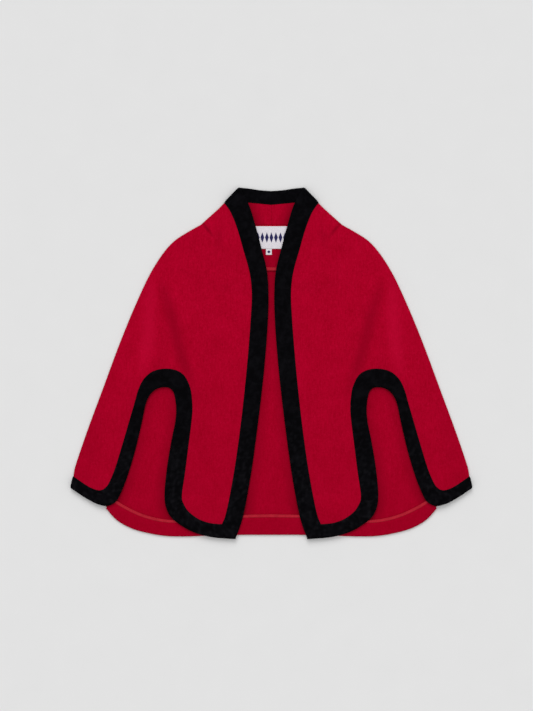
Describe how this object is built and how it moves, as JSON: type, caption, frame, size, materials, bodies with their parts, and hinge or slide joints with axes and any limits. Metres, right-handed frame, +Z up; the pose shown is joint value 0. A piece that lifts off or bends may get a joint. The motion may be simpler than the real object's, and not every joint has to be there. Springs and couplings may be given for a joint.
{
  "type": "wool cape",
  "caption": "Open-front boiled wool cape laid flat, with a funnel collar, arched arm slots in the fronts and folded velvet binding on its edges.",
  "frame": {"origin": "on the surface the cape lies on, under the middle of its outline", "axes": "+X to the wearer's left, +Y to the collar, +Z up from the surface, out of the fronts"},
  "size_m": [0.762, 0.668, 0.0122],
  "materials": {
    "wool": "boiled wool, dull felted surface with a short nap",
    "velvet": "cotton velvet, black short pile",
    "tape": "satin bias tape, light red",
    "label": "woven satin label"
  },
  "bodies": {
    "root": {"back_panel": "wool", "front_left": "wool", "front_right": "wool", "back_collar_left": "wool", "back_collar_right": "wool", "hem_turn_up": "wool", "neck_facing": "wool", "front_binding_left": "velvet", "front_binding_right": "velvet", "slot_binding_left": "velvet", "slot_binding_right": "velvet", "cuff_binding_left": "velvet", "cuff_binding_right": "velvet", "collar_binding": "velvet", "hem_tape": "tape", "neck_tape": "tape", "label": "label", "size_tag": "label"}
  },
  "joints": []
}
